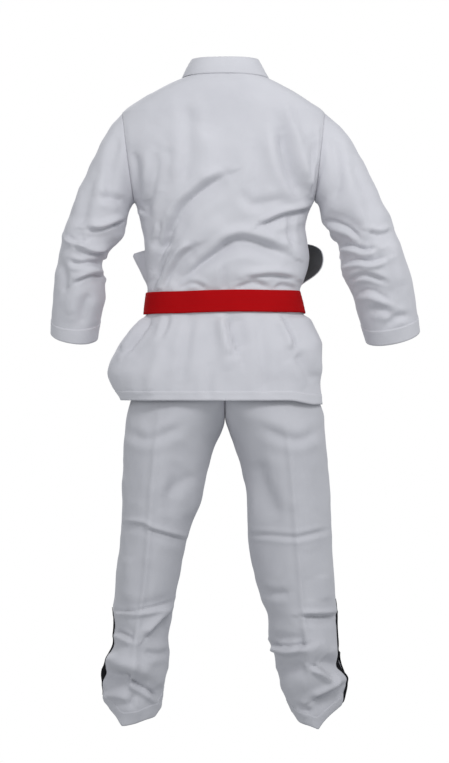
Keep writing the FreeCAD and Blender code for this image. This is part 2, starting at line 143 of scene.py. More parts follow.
def smooth(table, x, column=1):
    """Monotone cubic through one column of a table of rows that start with x."""
    rows = sorted(table)
    xs = np.array([r[0] for r in rows], float)
    ys = np.array([r[column] for r in rows], float)
    h = np.diff(xs)
    d = np.diff(ys) / h
    m = np.zeros(len(xs))
    same = d[:-1] * d[1:] > 0
    m[1:-1][same] = 2 * d[:-1][same] * d[1:][same] / (d[:-1] + d[1:])[same]
    m[0], m[-1] = d[0], d[-1]
    x = np.clip(np.asarray(x, float), xs[0], xs[-1])
    i = np.clip(np.searchsorted(xs, x) - 1, 0, len(h) - 1)
    t = (x - xs[i]) / h[i]
    return ((2 * t**3 - 3 * t**2 + 1) * ys[i] + (t**3 - 2 * t**2 + t) * h[i] * m[i]
            + (3 * t**2 - 2 * t**3) * ys[i + 1] + (t**3 - t**2) * h[i] * m[i + 1])


def step(x, low, high):
    """Smooth rise from 0 at low to 1 at high."""
    t = np.clip((np.asarray(x, float) - low) / (high - low), 0, 1)
    return t * t * (3 - 2 * t)


def bump(x, middle, width):
    """A bell of height 1."""
    return np.exp(-(((np.asarray(x, float) - middle) / width) ** 2))


def power(value, exponent):
    """A power that keeps the sign."""
    return np.sign(value) * np.abs(value) ** exponent


def ring(turn, exponent):
    """Cosine and sine of angles round a superellipse."""
    return power(np.cos(turn), exponent), power(np.sin(turn), exponent)


def between(first, last, share):
    """Rows that run from one column of values to another."""
    return first[:, None] * (1 - share) + last[:, None] * share


def run_of(path):
    """Distance along a path at each of its points."""
    return np.concatenate([[0], np.cumsum(np.linalg.norm(np.diff(path, axis=0), axis=1))])


def along(path, run, at):
    """Points at distances along a path."""
    return np.stack([np.interp(at, run, column) for column in path.T], axis=-1)


def normals(grid, closed=False):
    """Unit normals of a grid of points, on the side that makes rows x columns positive."""
    if closed:
        wide = np.concatenate([grid[:, -1:], grid, grid[:, :1]], axis=1)
        across = np.gradient(wide, axis=1)[:, 1:-1]
    else:
        across = np.gradient(grid, axis=1)
    n = np.cross(np.gradient(grid, axis=0), across)
    return n / np.maximum(np.linalg.norm(n, axis=2, keepdims=True), 1e-9)


def turned(n, agree):
    """Normals, all turned over if they disagree with a way to look."""
    return -n if agree.mean() < 0 else n


def waves(points, size, seed, count=26, stretch=(1, 1, 1)):
    """Smooth random height of about +-1 over points, with features about size across."""
    rng = np.random.default_rng(seed)
    p = np.asarray(points, float) * np.array(stretch)
    total = np.zeros(p.shape[:-1])
    for _ in range(count):
        way = rng.normal(size=3)
        way *= rng.uniform(0.6, 1.7) / (np.linalg.norm(way) * size)
        total += np.sin(2 * math.pi * (p @ way) * 0.5 + rng.uniform(0, 2 * math.pi))
    return total / math.sqrt(count / 2) / 1.6


def chaikin(points, times=2):
    """A line with its corners cut, again and again."""
    p = np.array(points, float)
    for _ in range(times):
        q = np.empty((2 * len(p), p.shape[1]))
        q[0], q[-1] = p[0], p[-1]
        q[1:-1:2] = 0.75 * p[:-1] + 0.25 * p[1:]
        q[2:-1:2] = 0.25 * p[:-1] + 0.75 * p[1:]
        p = q
    return p


def fold_height(points, folds, shift=0, share=1.0):
    """Height of folds over points in a plane; shift moves the folds up and share scales them."""
    xz = points.reshape(-1, 2)
    total = np.zeros(len(xz))
    for kind, (width, depth, *line) in [(kind, fold) for kind in folds for fold in folds[kind]]:
        line = chaikin(np.reshape(line, (-1, 2)) + (0, shift))
        low, high = line.min(0) - 5 * width, line.max(0) + 5 * width
        near = np.where(((xz > low) & (xz < high)).all(1))[0]
        if not len(near):
            continue
        q = xz[near]
        run = run_of(line)
        best = np.full(len(q), 1e9)
        side = np.ones(len(q))
        at = np.zeros(len(q))
        for start, seg, reached, length in zip(line, np.diff(line, axis=0), run, np.diff(run)):
            t = np.clip(((q - start) @ seg) / max(length**2, 1e-9), 0, 1)
            away = q - (start + t[:, None] * seg)
            d = np.linalg.norm(away, axis=1)
            closer = d < best
            best[closer] = d[closer]
            side[closer] = np.sign(seg[0] * away[:, 1] - seg[1] * away[:, 0])[closer]
            at[closer] = (reached + t[closer] * length) / run[-1]
        fade = np.minimum(1, np.sin(np.clip(at, 0.03, 0.97) * math.pi) * 1.9) ** 0.8
        s = best / width * side
        if kind == "valley":
            h = -1.15 * np.exp(-s**2) + 0.5 * np.exp(-((np.abs(s) - 2.1) / 1.1) ** 2)
        elif kind == "ridge":
            h = 1.1 * np.exp(-s**2) - 0.35 * np.exp(-((np.abs(s) - 2.1) / 1.1) ** 2)
        else:  # a lip: a sharp valley with a full ridge on its left side, going along the line
            h = -1.3 * np.exp(-(np.abs(s) / 0.72) ** 1.5) + 1.25 * np.exp(-((s - 1.7) / 1.3) ** 2)
            h -= 0.75 * np.exp(-((s + 2.2) / 2.2) ** 2) * (s < 4)
        total[near] += STRENGTH * depth * share * fade * h
    return total.reshape(points.shape[:-1])


def drawn(points):
    """X and Z of points as they line up, from the eye, with the plane the folds are drawn in."""
    scale = EYE / (EYE - np.maximum(points[..., 1], 0))
    return np.stack([points[..., 0] * scale, AIM + (points[..., 2] - AIM) * scale], axis=-1)


def raised(grid, folds, way, mask, extra):
    """The grid moved along its normals by folds and an extra height, and its normals along way in Y."""
    n = normals(grid)
    n = turned(n, n[..., 1] * way)
    h = fold_height(drawn(grid), folds) * step(n[..., 1] * way, 0.02, 0.32) + extra
    return grid + n * (h * mask)[..., None], n


# ---------------------------------------------------------------- meshes

def mesh(name, points, faces, material, thick=None):
    """A smooth object in metres; thick gives it thickness inwards."""
    data = bpy.data.meshes.new(name)
    data.from_pydata((np.asarray(points).reshape(-1, 3) * MM).tolist(), [], faces)
    data.validate()
    data.polygons.foreach_set("use_smooth", [True] * len(data.polygons))
    data.materials.append(material)
    data.update()
    thing = bpy.data.objects.new(name, data)
    bpy.context.scene.collection.objects.link(thing)
    if thick:
        solid = thing.modifiers.new("thickness", "SOLIDIFY")
        solid.thickness = thick * MM
        solid.offset = -1
    return thing


def grid_faces(rows, cols, closed=False, flip=False):
    r = np.arange(rows - 1)[:, None]
    c = np.arange(cols if closed else cols - 1)[None, :]
    a = r * cols + c
    b = r * cols + (c + 1) % cols
    quads = np.stack([a, b, b + cols, a + cols], axis=-1).reshape(-1, 4)
    return (quads[:, ::-1] if flip else quads).tolist()


def cloth(name, grid, n, material, thick=CLOTH, closed=False, lift=0.0):
    """A sheet with thickness: its outer face is the grid moved out by lift, and looks along n."""
    grid = grid + n * lift
    flip = (normals(grid, closed) * n).sum() > 0
    return mesh(name, grid, grid_faces(*grid.shape[:2], closed, flip), material, thick)


def line_of(surface, where, lift=0.25, closed=False):
    """Points and normals of one row or column of a surface, as a line for stitches."""
    path, up = surface[0][where], surface[1][where]
    if closed:
        path = np.concatenate([path, path[:1]])
        up = np.concatenate([up, up[:1]])
    return path + up * lift, up


def stitches(name, lines, material, pitch=3.6, length=2.5):
    """Rows of raised stitches along lines, which are pairs of points and normals."""
    points, faces = [], []
    for path, n in lines:
        run = run_of(path)
        for start in np.arange(pitch / 2, run[-1] - length, pitch):
            first, middle, last = along(path, run, start + length * np.array([0, 0.5, 1]))
            up = along(n, run, start + length / 2)
            up /= max(np.linalg.norm(up), 1e-9)
            side = np.cross(last - first, up)
            side *= STITCH_WIDTH / 2 / max(np.linalg.norm(side), 1e-9)
            sunk, flank = -up * 0.35, middle + up * STITCH_HEIGHT * 0.4
            base = len(points)
            points += [first + sunk, flank + side + sunk, flank - side + sunk,
                       middle + up * STITCH_HEIGHT, last + sunk]
            faces += [[base + k for k in face] for face in ((0, 1, 3), (0, 3, 2), (4, 3, 1), (4, 2, 3))]
    return mesh(name, points, faces, material)


def ribbon(name, path, across, width, thick, puff):
    """A strip of belt along a path; across is its width direction and puff its swell."""
    across = across / np.linalg.norm(across, axis=1, keepdims=True)
    marks = np.linspace(-0.5, 0.5, 13)
    grid = path[:, None] + across[:, None] * (marks[None, :, None] * width[:, None, None])
    n = normals(grid)
    swell = np.broadcast_to(puff, len(path))[:, None] * (1 - (2 * marks) ** 2)[None, :]
    grid = grid + n * swell[..., None]
    cloth(name, grid, n, RED, thick)
    return grid, n


# ---------------------------------------------------------------- materials

def fabric(name, colour, shade, weave=1.6, grain=0.25, rough=0.9, sheen=0.15, gloss=0.2):
    """Woven cloth: a twill and slubs that raise a bump, and a cloudy change from colour to shade."""
    material = bpy.data.materials.new(name)
    material.use_nodes = True
    tree = material.node_tree
    bsdf = tree.nodes["Principled BSDF"]

    def node(kind, values, **settings):
        made = tree.nodes.new("ShaderNode" + kind)
        for key, value in settings.items():
            setattr(made, key, value)
        for key, value in values.items():
            made.inputs[key].default_value = value
        return made

    where = node("TexCoord", {})
    turn = node("Mapping", {"Rotation": (0.0, math.radians(38), 0.0)})
    twill = node("TexWave", {"Scale": 1000 / weave, "Distortion": 0.8, "Detail": 1.0},
                 wave_type="BANDS", bands_direction="X")
    slub = node("TexNoise", {"Scale": 900.0, "Detail": 3.0})
    cloud = node("TexNoise", {"Scale": 9.0, "Detail": 5.0})
    ramp = node("MapRange", {"From Min": 0.3, "From Max": 0.62})
    tone = node("Mix", {}, data_type="RGBA")
    tone.inputs["A"].default_value = (*shade, 1)
    tone.inputs["B"].default_value = (*colour, 1)
    height = node("Math", {}, operation="ADD")
    relief = node("Bump", {"Strength": grain, "Distance": 0.0003})
    links = [(where, "Object", turn, "Vector"), (turn, "Vector", twill, "Vector"),
             (where, "Object", slub, "Vector"), (where, "Object", cloud, "Vector"),
             (cloud, "Fac", ramp, "Value"), (ramp, "Result", tone, "Factor"),
             (tone, "Result", bsdf, "Base Color"), (twill, "Fac", height, 0), (slub, "Fac", height, 1),
             (height, "Value", relief, "Height"), (relief, "Normal", bsdf, "Normal")]
    for source, output, target, socket in links:
        tree.links.new(source.outputs[output], target.inputs[socket])
    bsdf.inputs["Roughness"].default_value = rough
    bsdf.inputs["Sheen Weight"].default_value = sheen
    bsdf.inputs["Sheen Roughness"].default_value = 0.5
    bsdf.inputs["Specular IOR Level"].default_value = gloss
    return material


COTTON = fabric("jacket cotton", (0.612, 0.612, 0.652), (0.575, 0.575, 0.616))
BANDS = fabric("jacket bands", (0.618, 0.618, 0.658), (0.585, 0.585, 0.625), weave=2.2)
TROUSER = fabric("trouser cotton", (0.545, 0.547, 0.585), (0.51, 0.512, 0.55))
LINING = fabric("lining", (0.60, 0.605, 0.62), (0.56, 0.566, 0.585), grain=0.12)
RED = fabric("belt cotton", (0.43, 0.003, 0.005), (0.37, 0.002, 0.004), weave=1.4, grain=0.4, sheen=0.0,
             gloss=0.08)
RED_THREAD = fabric("belt thread", (0.36, 0.006, 0.01), (0.30, 0.004, 0.008), rough=0.6, sheen=0.0)
THREAD = fabric("white thread", (0.66, 0.665, 0.68), (0.62, 0.626, 0.645), rough=0.6, sheen=0.1)
ELASTIC = fabric("elastic", (0.66, 0.66, 0.66), (0.55, 0.55, 0.56), weave=2.6, grain=0.5)
# painted shade: this near-black cloth stands in for the shadow on the inside of the outer front's loose edge
PAINTED_SHADE_FACING = fabric("painted shade facing", (0.075, 0.076, 0.08), (0.055, 0.056, 0.06), weave=1.6, grain=0.3)
TAPE = fabric("side tape", (0.010, 0.010, 0.012), (0.006, 0.006, 0.008), weave=1.2, sheen=0.0, gloss=0.08)


# ---------------------------------------------------------------- folds
# By kind, each fold as its width, its depth, and X and Z of the points that it is drawn through

BACK_FOLDS = {
    "valley": [
        (19, 4.2, 122, -432, 98, -408, 58, -378, 16, -356, -24, -336),
        (14, 3.0, 152, -425, 138, -394, 120, -362, 112, -330),
        (16, 3.0, -8, -208, 40, -232, 84, -268, 112, -320, 140, -372, 158, -420),
        (14, 3.4, -118, -112, -126, -158, -144, -206, -174, -248),
        (9, 2.6, -190, -128, -186, -176, -184, -222, -186, -252),
        (10, 2.6, 192, -150, 186, -190, 180, -230, 182, -258),
        (15, 2.2, 118, -140, 124, -190, 134, -240),
        (7, 3.0, 108, -300, 118, -322, 127, -337, 133, -362, 144, -393, 151, -415, 155, -446),
        (6, 2.4, -138, -289, -135, -322, -144, -355),
        (5, 2.4, -18, -448, -42, -434, -67, -427, -92, -444),
        (5, 2.0, -100, -448, -118, -436, -138, -440, -150, -450),
        (6, 1.6, 2, -392, 3, -420, 2, -448),
        (5, 2.2, 38, -448, 52, -434, 76, -430, 96, -446),
        (13, 2.2, 82, -42, 78, -90, 78, -150, 83, -195, 97, -224),
        (9, 2.8, 144, -150, 147, -200, 157, -245, 164, -270, 170, -296),
        (4, 2.2, 133, -302, 136, -322, 144, -349),
        (12, 2.8, -120, -92, -118, -137, -126, -180, -141, -217, -157, -245, -169, -262),
        (16, 2.0, -60, -120, -72, -180, -66, -240, -80, -290),
        (10, 1.6, -30, -230, -52, -270, -90, -262, -130, -252),
        (7, 1.6, 150, -330, 140, -360, 120, -340),
        (13, 3.0, -150, -575, -177, -615, -192, -640),
        (10, 2.2, 70, -498, 80, -540, 84, -590, 96, -640),
        (12, 1.8, -70, -498, -76, -550, -84, -610, -80, -670),
        (6, 2.2, 118, -497, 124, -520, 136, -546),
        (9, 1.6, 30, -590, 36, -630, 34, -676)],
    "ridge": [
        (22, 3.0, -130, -420, -80, -412, -30, -404, 20, -416, 60, -436),
        (13, 2.4, -150, -110, -158, -160, -172, -214),
        (12, 2.6, -110, -392, -70, -380, -35, -372, 0, -382, 30, -402, 60, -420),
        (10, 2.2, -180, -288, -150, -300, -120, -310, -90, -322),
        (12, 2.6, -122, -52, -135, -88, -153, -130),
        (16, 1.8, 40, -110, 34, -170, 44, -230),
        (12, 2.6, 10, -500, 6, -540, 0, -580, -6, -620),
        (14, 2.2, 130, -560, 150, -610, 160, -670)],
    "lip": [
        (8, 3.4, -6, -202, 25, -217, 56, -239, 81, -260, 96, -279, 108, -304, 118, -322),
        (4.5, 2.6, 111, -353, 124, -374, 136, -396, 144, -415, 148, -428),
        (6, 3.2, 62, -353, 87, -368, 105, -393, 118, -415, 127, -438),
        (9, 4.2, -138, -374, -113, -362, -83, -350, -55, -340, -30, -337, -6, -346, 13, -365, 31, -378,
         50, -390, 78, -414, 99, -432),
        (5.5, 3.6, -186, -272, -153, -282, -123, -288, -98, -300, -70, -312),
        (6, 3.0, -146, -422, -123, -418, -98, -414, -67, -418, -44, -421),
        (4, 2.2, 193, -256, 182, -272, 168, -284),
        (4.5, 2.6, -203, -110, -204, -143, -198, -181, -189, -211, -185, -242),
        (8, 4.2, -6, -497, -10, -528, -16, -553, -26, -580),
        (6, 3.4, 154, -502, 177, -531, 196, -557, 211, -580),
        (7, 3.0, -119, -497, -132, -518, -144, -542, -150, -570)]}
FRONT_FOLDS = {
    "valley": [
        (10, 2.8, 150, -150, 138, -200, 146, -250, 166, -292),
        (10, 2.8, -150, -150, -138, -200, -146, -250, -166, -286),
        (6, 2.4, 20, -448, 40, -434, 66, -430, 84, -446),
        (6, 2.4, -20, -448, -50, -436, -76, -430, -100, -446),
        (6, 2.2, 96, -448, 112, -438, 132, -446),
        (12, 3.0, 92, -498, 100, -540, 112, -600, 110, -676),
        (11, 2.6, -40, -498, -46, -550, -60, -620, -58, -676)],
    "ridge": [
        (13, 2.4, 90, -60, 104, -120, 96, -190),
        (13, 2.4, -90, -60, -104, -120, -100, -180),
        (14, 2.6, 30, -505, 36, -560, 40, -640)],
    "lip": [
        (9, 3.6, 150, -300, 110, -330, 60, -362, 10, -392, -40, -412),
        (8, 3.2, 120, -370, 80, -392, 40, -412, 0, -430),
        (7, 3.0, 176, -276, 140, -292, 104, -300, 76, -318),
        (8, 3.0, 150, -500, 166, -540, 184, -590),
        (8, 3.0, -150, -500, -164, -540, -180, -590)]}
SLEEVE_FOLDS = {1: {
    "valley": [
        (5, 3.2, 252, -392, 276, -388, 304, -392, 330, -384),
        (8, 2.4, 214, -262, 240, -250, 268, -252),
        (11, 2.4, 220, -120, 238, -170, 246, -220, 238, -262),
        (12, 2.2, 262, -170, 282, -230, 298, -290, 300, -330),
        (10, 2.2, 282, -450, 296, -486, 300, -520),
        (7, 2.0, 344, -380, 334, -420, 340, -455)],
    "ridge": [
        (12, 2.0, 300, -420, 318, -460, 326, -500)],
    "lip": [
        (6, 3.4, 206, -300, 232, -310, 262, -322, 292, -318),
        (5, 3.2, 237, -362, 262, -372, 290, -368, 318, -352),
        (5, 2.8, 250, -420, 270, -412, 296, -420, 318, -432),
        (5, 2.2, 330, -330, 310, -345, 290, -340)]
}, -1: {
    "valley": [
        (5, 3.0, -256, -428, -284, -412, -312, -418, -340, -430),
        (8, 2.4, -300, -490, -326, -482, -352, -496),
        (7, 2.2, -340, -520, -362, -500, -386, -500),
        (11, 2.4, -222, -120, -238, -170, -240, -222, -226, -262),
        (12, 2.2, -262, -160, -284, -215, -304, -270, -312, -320)],
    "ridge": [
        (12, 2.0, -350, -340, -362, -400, -372, -440)],
    "lip": [
        (6, 3.4, -203, -300, -232, -304, -262, -318, -284, -338),
        (6, 3.6, -238, -352, -262, -350, -290, -362, -318, -356),
        (5, 3.4, -246, -392, -276, -380, -306, -388, -338, -376),
        (6, 2.8, -272, -458, -296, -446, -322, -452, -350, -470),
        (5, 2.4, -350, -320, -326, -330, -300, -322)]
}}
LEG_FOLDS = {1: {
    "valley": [
        (13, 7.5, 262, -1238, 240, -1252, 214, -1258, 190, -1266),
        (5, 2.4, 192, -1296, 199, -1316),
        (10, 2.2, 206, -740, 170, -760, 130, -752, 90, -730),
        (12, 2.0, 60, -830, 96, -850, 120, -880),
        (7, 2.2, 112, -1200, 140, -1212, 170, -1206),
        (20, 3.0, 96, -800, 110, -860, 118, -925),
        (20, 6.0, 255, -1262, 228, -1272, 190, -1282, 160, -1290)],
    "ridge": [
        (8, 3.6, 252, -1296, 226, -1294, 200, -1300),
        (6, 1.5, 138, -693, 152, -843, 159, -955, 173, -1100, 187, -1161, 194, -1302),
        (14, 2.4, 200, -1000, 206, -1060, 204, -1100)],
    "lip": [
        (4.5, 2.8, 236, -1117, 206, -1119, 176, -1117, 140, -1110, 106, -1098),
        (5, 3.4, 228, -1160, 214, -1168, 192, -1179),
        (6, 4.2, 106, -1122, 124, -1132, 146, -1156, 166, -1176),
        (6, 3.6, 206, -1262, 180, -1276, 155, -1288, 137, -1305),
        (4, 1.9, 82, -969, 120, -959, 157, -949, 168, -939, 190, -936, 215, -936)]
}, -1: {
    "valley": [
        (9, 3.4, -98, -1206, -130, -1212, -166, -1206),
        (5, 2.6, -153, -1315, -166, -1324, -180, -1330),
        (12, 4.6, -250, -1236, -226, -1230, -206, -1216),
        (5, 1.7, -44, -958, -100, -960, -149, -966, -190, -956, -225, -948),
        (18, 5.0, -100, -1232, -140, -1238, -168, -1230),
        (10, 2.2, -196, -740, -160, -762, -120, -756, -80, -735),
        (20, 3.0, -60, -800, -88, -880, -110, -930),
        (8, 2.0, -70, -1070, -100, -1084, -136, -1080)],
    "ridge": [
        (6, 1.5, -122, -702, -138, -796, -150, -955, -162, -1100, -171, -1189, -180, -1290),
        (14, 2.2, -206, -1040, -212, -1100)],
    "lip": [
        (4.5, 2.8, -236, -1126, -218, -1130, -190, -1131, -158, -1129),
        (6, 5.0, -90, -1186, -112, -1192, -142, -1193, -178, -1188),
        (4.5, 3.4, -180, -1233, -200, -1240, -217, -1253, -228, -1266),
        (6, 4.0, -252, -1270, -217, -1293, -184, -1307)]
}}


# ---------------------------------------------------------------- jacket

def edge_x(side, z):
    """Distance from the middle to the seam where front meets back, on one side."""
    z = np.asarray(z, float)
    middle, half, cz, tall, _ = ARMHOLE[side]
    above = smooth(SHOULDER[side] + [(cz + tall, middle + half)], z)
    below = smooth([(cz - tall, middle - half)] + SIDE[side], z)
    beside = middle + half * (z - cz) / tall
    return np.where(z > cz + tall, above, np.where(z < cz - tall, below, beside))


def edge_y(side, z):
    """How far that seam or armhole stands behind the jacket's middle, or in front of it."""
    _, _, cz, tall, depth = ARMHOLE[side]
    return depth * np.sqrt(np.clip(1 - ((np.asarray(z, float) - cz) / tall) ** 2, 0, 1))


def section(z):
    """The jacket's section at each height: half depth, middle, and each side's reach and last angle."""
    depth, middle = smooth(DEPTH, z, 1), smooth(DEPTH, z, 2)
    reach, last = {}, {}
    for side in (1, -1):
        share = (1 - (edge_y(side, z) / depth) ** POWER) ** (1 / POWER)
        reach[side] = edge_x(side, z) / share
        last[side] = np.arcsin(np.clip(share ** (POWER / 2), 0, 1))
    return depth, middle, reach, last


def torso(alpha, z, way, inset=0.0):
    """Points of the jacket at angles from its middle plane, behind (way 1) or in front (way -1)."""
    depth, middle, reach, _ = section(z)
    a = np.where(alpha >= 0, reach[1], reach[-1]) - inset
    x = a * power(np.sin(alpha), 2 / POWER)
    y = middle + way * (depth - inset) * np.abs(np.cos(alpha)) ** (2 / POWER)
    return np.stack([x, y, z + 0 * x], axis=-1)


def angle_of(x, z):
    """The angle at which the jacket reaches x."""
    _, _, reach, _ = section(z)
    share = np.clip(np.abs(x) / np.where(x >= 0, reach[1], reach[-1]), 0, 0.999)
    return np.sign(x) * np.arcsin(share ** (POWER / 2))


def seam_heights(top, low, spacing, side=1):
    """Heights that are evenly spaced along the seam of one side."""
    z = np.linspace(top, low, 3000)
    run = run_of(np.stack([edge_x(side, z), edge_y(side, z), z], axis=1))
    return np.interp(np.linspace(0, run[-1], int(run[-1] / spacing)), run, z)


def away_from_belt(z):
    """0 where the belt presses the jacket flat, 1 elsewhere."""
    return 1 - step(-z, -BELT[0] - 5, -BELT[0] + 1) * (1 - step(-z, -BELT[1] - 1, -BELT[1] + 5))


def rumple(grid, seed, size=1.0):
    """Small uneven ripples of cloth that has been worn."""
    broad = waves(grid, 75, 7, stretch=(1, 0.6, 0.8))
    small = waves(grid, 30, seed)
    fine = waves(grid, 14, seed + 1, stretch=(1, 1, 0.6))
    drag = 1 - np.abs(waves(grid, 55, seed + 2, count=9, stretch=(0.6, 0.6, 1.3)))
    return size * (1.5 * broad + 0.5 * small + 0.14 * fine + 0.8 * drag * step(small, -0.3, 0.6))


def back_grid(spacing=3.8, cols=132, inset=0.0):
    """The back from the neck to the hem and from the right seam to the left, and its heights."""
    z = seam_heights(-4, HEM_Z, spacing)
    _, _, _, last = section(z)
    alpha = between(-last[-1], last[1], np.linspace(0, 1, cols))
    zz = np.repeat(z[:, None], cols, axis=1)
    grid = torso(alpha, zz, 1, inset)
    grid[..., 2] += NECK_RISE * np.abs(np.cos(alpha)) * (1 - step(-zz, 4, 60))
    grid[..., 2] -= 9 * step(-grid[..., 0], 130, 190) * step(-zz, 620, 676)  # the hem dips on the right
    return grid, zz


def seam_mask(grid, zz, wide=14):
    """0 at the sewn side edges of a panel, 1 inside it; the edges below the slits are free."""
    run = np.cumsum(np.linalg.norm(np.diff(grid, axis=1, prepend=grid[:, :1]), axis=2), axis=1)
    nearest = np.minimum(run, run[:, -1:] - run)
    return np.maximum(step(nearest, 0, wide), 0.7 * step(-zz, -VENT_TOP, -VENT_TOP + 40))


def sew_panel(name, hem_name, grid, folds, way, mask, seed, size, hem_lift):
    """A panel of the jacket and its hem: their folded surface, and the row where the hem begins."""
    shaped, n = raised(grid, folds, way, mask, rumple(grid, seed, size))
    rows = int((shaped[:, 60, 2] > HEM_Z + HEM_WIDTH).sum())
    cloth(name, shaped[:rows + 1], n[:rows + 1], COTTON)
    cloth(hem_name, shaped[rows - 1:], n[rows - 1:], BANDS, BAND, lift=hem_lift)
    return (shaped, n), rows


def make_back():
    grid, zz = back_grid()
    mask = seam_mask(grid, zz) * away_from_belt(zz) * step(-zz, 4, 22)
    return sew_panel("back_panel", "back_hem", grid, BACK_FOLDS, 1, mask, 11, 0.75, 0.8)


def lapel_x(z):
    """X of a lapel's free edge, from the wearer's own side."""
    return smooth([(h, x) for x, h in LAPEL], z)


def lobe(z):
    """1 where the outer front's free edge stands off the wearer's right side."""
    return step(-z, LOBE[0], LOBE[1]) * (1 - step(-z, LOBE[2], LOBE[3]))


def band_seam_x(side, z):
    """X of the seam of a lapel, from the wearer's own side."""
    return lapel_x(z) + LAPEL_WIDTH - (LOBE_SETBACK * lobe(z) if side > 0 else 0)


def front_grid(side, inset, spacing=4.0, cols=118):
    """A front from under its lapel to the side seam, and its heights."""
    z = seam_heights(-5, HEM_Z, spacing, side)
    _, _, _, last = section(z)
    loose = lobe(z) if side > 0 else 0 * z
    inner = band_seam_x(side, z) - 26 * (1 - loose) + 4 * loose  # under the lapel, short of a loose one
    inner = np.minimum(inner, edge_x(side, z) - 6)
    share = np.linspace(0, 1, cols)
    alpha = between(angle_of(side * inner, z), side * last[side], share)
    zz = np.repeat(z[:, None], cols, axis=1)
    rim = 0.94 - 0.39 * (1 - step(-zz, 270, 330))  # the under front comes up to the armhole and shoulder
    grid = torso(alpha, zz, -1, inset * (1 - step(share[None, :], rim, 0.995)))
    if side > 0:  # pouch beside the left seam, over the belt
        steps = np.diff(grid[:, ::-1], axis=1, prepend=grid[:, -1:])
        away = np.cumsum(np.linalg.norm(steps, axis=2), axis=1)[:, ::-1]
        out = step(-zz, 358, 371) * np.clip((446 + zz) / 74, 0, 1)
        grid[..., 0] += 30 * out * step(away, 2, 24) * (1 - step(away, 34, 120))
        grid[..., 1] -= 6 * out * step(away, 10, 60) * (1 - step(away, 60, 130))
    narrow = step(-zz, -VENT_TOP, -VENT_TOP + 50) * step(np.abs(alpha), 0.9, 1.5)
    grid[..., 0] -= np.sign(grid[..., 0]) * 7 * narrow
    grid[..., 1] -= 5 * narrow
    return grid, zz


def make_front(side, name):
    grid, zz = front_grid(side, 0.0 if side > 0 else UNDER)
    mask = seam_mask(grid, zz) * away_from_belt(zz)
    if side > 0:  # the loose edge under the lapel is free
        mask[:, :40] = np.maximum(mask[:, :40], away_from_belt(zz[:, :40]) * 0.9)
    return sew_panel(name, name + "_hem", grid, FRONT_FOLDS, -1, mask, 23, 0.7, 0.5)


def neck_line(size, turn, reach, rise):
    """The neck seam or the collar's upper edge on one side, from the nape to beside the neck."""
    half_width, half_depth, middle, height = size
    return np.stack([half_width * reach, middle + half_depth * np.cos(turn), height + rise * np.cos(turn)],
                    axis=1)


def lapel_side(side):
    """One half of the band, from the nape to the hem and from its seam to its free edge."""
    turn = np.linspace(0, math.pi / 2, 18)
    z = np.linspace(-34, HEM_Z + 1, 186)
    inner = lapel_x(z)
    if side > 0:
        inner = inner + (smooth(LOBE_EDGE, z) - inner) * step(-z, 296, 318) * (z > -460)
    outer = np.minimum(band_seam_x(side, z), edge_x(side, z) - 4)
    share = np.linspace(0, 1, 15)
    x = side * between(outer, inner, share)
    zz = np.repeat(z[:, None], len(share), axis=1)
    hug = np.clip(x, -LOOSE_X, LOOSE_X) if side > 0 else x
    front = torso(angle_of(hug, zz), zz, -1)
    front[..., 0] = x
    if side > 0:  # past the body the loose edge goes back along the wearer's right side
        off = np.clip(-LOOSE_X - x, 0, 60)
        front[..., 1] += off * 1.08
        front[..., 1] = np.where(off > 0, np.minimum(front[..., 1], 0), front[..., 1])
    flip = np.array([side, 1, 1])
    seam = np.concatenate([neck_line(NECK, turn, np.sin(turn), NECK_RISE) * flip,
                           np.array([(88, 4, -5), (97, -9, -11), (109, -24, -22)]) * flip, front[:, 0]])
    free = np.concatenate([neck_line(COLLAR, turn, np.sin(turn) ** 0.86, -1) * flip,
                           np.array([(69, 2, 33), (71, -17, 26), (72, -35, 11)]) * flip, front[:, -1]])
    for line in (seam, free):  # fair the turn from the neck into the front
        for _ in range(3):
            line[16:30] = (line[15:29] + 2 * line[16:30] + line[17:31]) / 4
    grid = seam[:, None] * (1 - share)[None, :, None] + free[:, None] * share[None, :, None]
    blend = step(np.arange(len(z)), 0, 12)[:, None, None]
    grid[-len(z):] = grid[-len(z):] * (1 - blend) + front * blend
    return grid


def make_band():
    """The collar and both lapels as one strip, the right one under the left."""
    left = lapel_side(1)
    right = lapel_side(-1)
    grid = np.concatenate([right[::-1], left[1:]])
    n = -normals(grid)
    z = grid[..., 2]
    under = (np.arange(len(grid)) < len(right))[:, None] * step(-z, 60, 165)
    height = fold_height(grid[..., [0, 2]], FRONT_FOLDS) + rumple(grid, 23, 0.7)
    on_chest = step(-n[..., 1], 0.1, 0.5)
    height *= on_chest * away_from_belt(z) * 0.9 * step(-z, 30, 90)
    nape = 1 - step(-z, -6, 20)
    share = np.linspace(0, 1, grid.shape[1])[None, :]
    height += (1.2 * (1 - (2 * share - 1) ** 2) + 0.7 * waves(grid, 46, 5)) * (0.4 + 0.6 * nape)
    tight = 1 - away_from_belt(z)
    out = 2.0 * (1 - tight) + 0.3 * tight - under * (UNDER + 0.2)
    shaped = grid + n * (height + out)[..., None]
    band = cloth("collar_and_lapels", shaped, n, BANDS, BAND)
    band.data.materials.append(BANDS)
    band.data.materials.append(PAINTED_SHADE_FACING)  # painted shade: a near-black cloth inside the left lapel, from a little below the neck, for the shadow inside the loose edge
    first = (len(right) + 41) * (shaped.shape[1] - 1)
    for i, polygon in enumerate(band.data.polygons):
        polygon.material_index = int(i >= first)
    band.modifiers["thickness"].material_offset = 1
    return shaped, n


# ---------------------------------------------------------------- sleeves

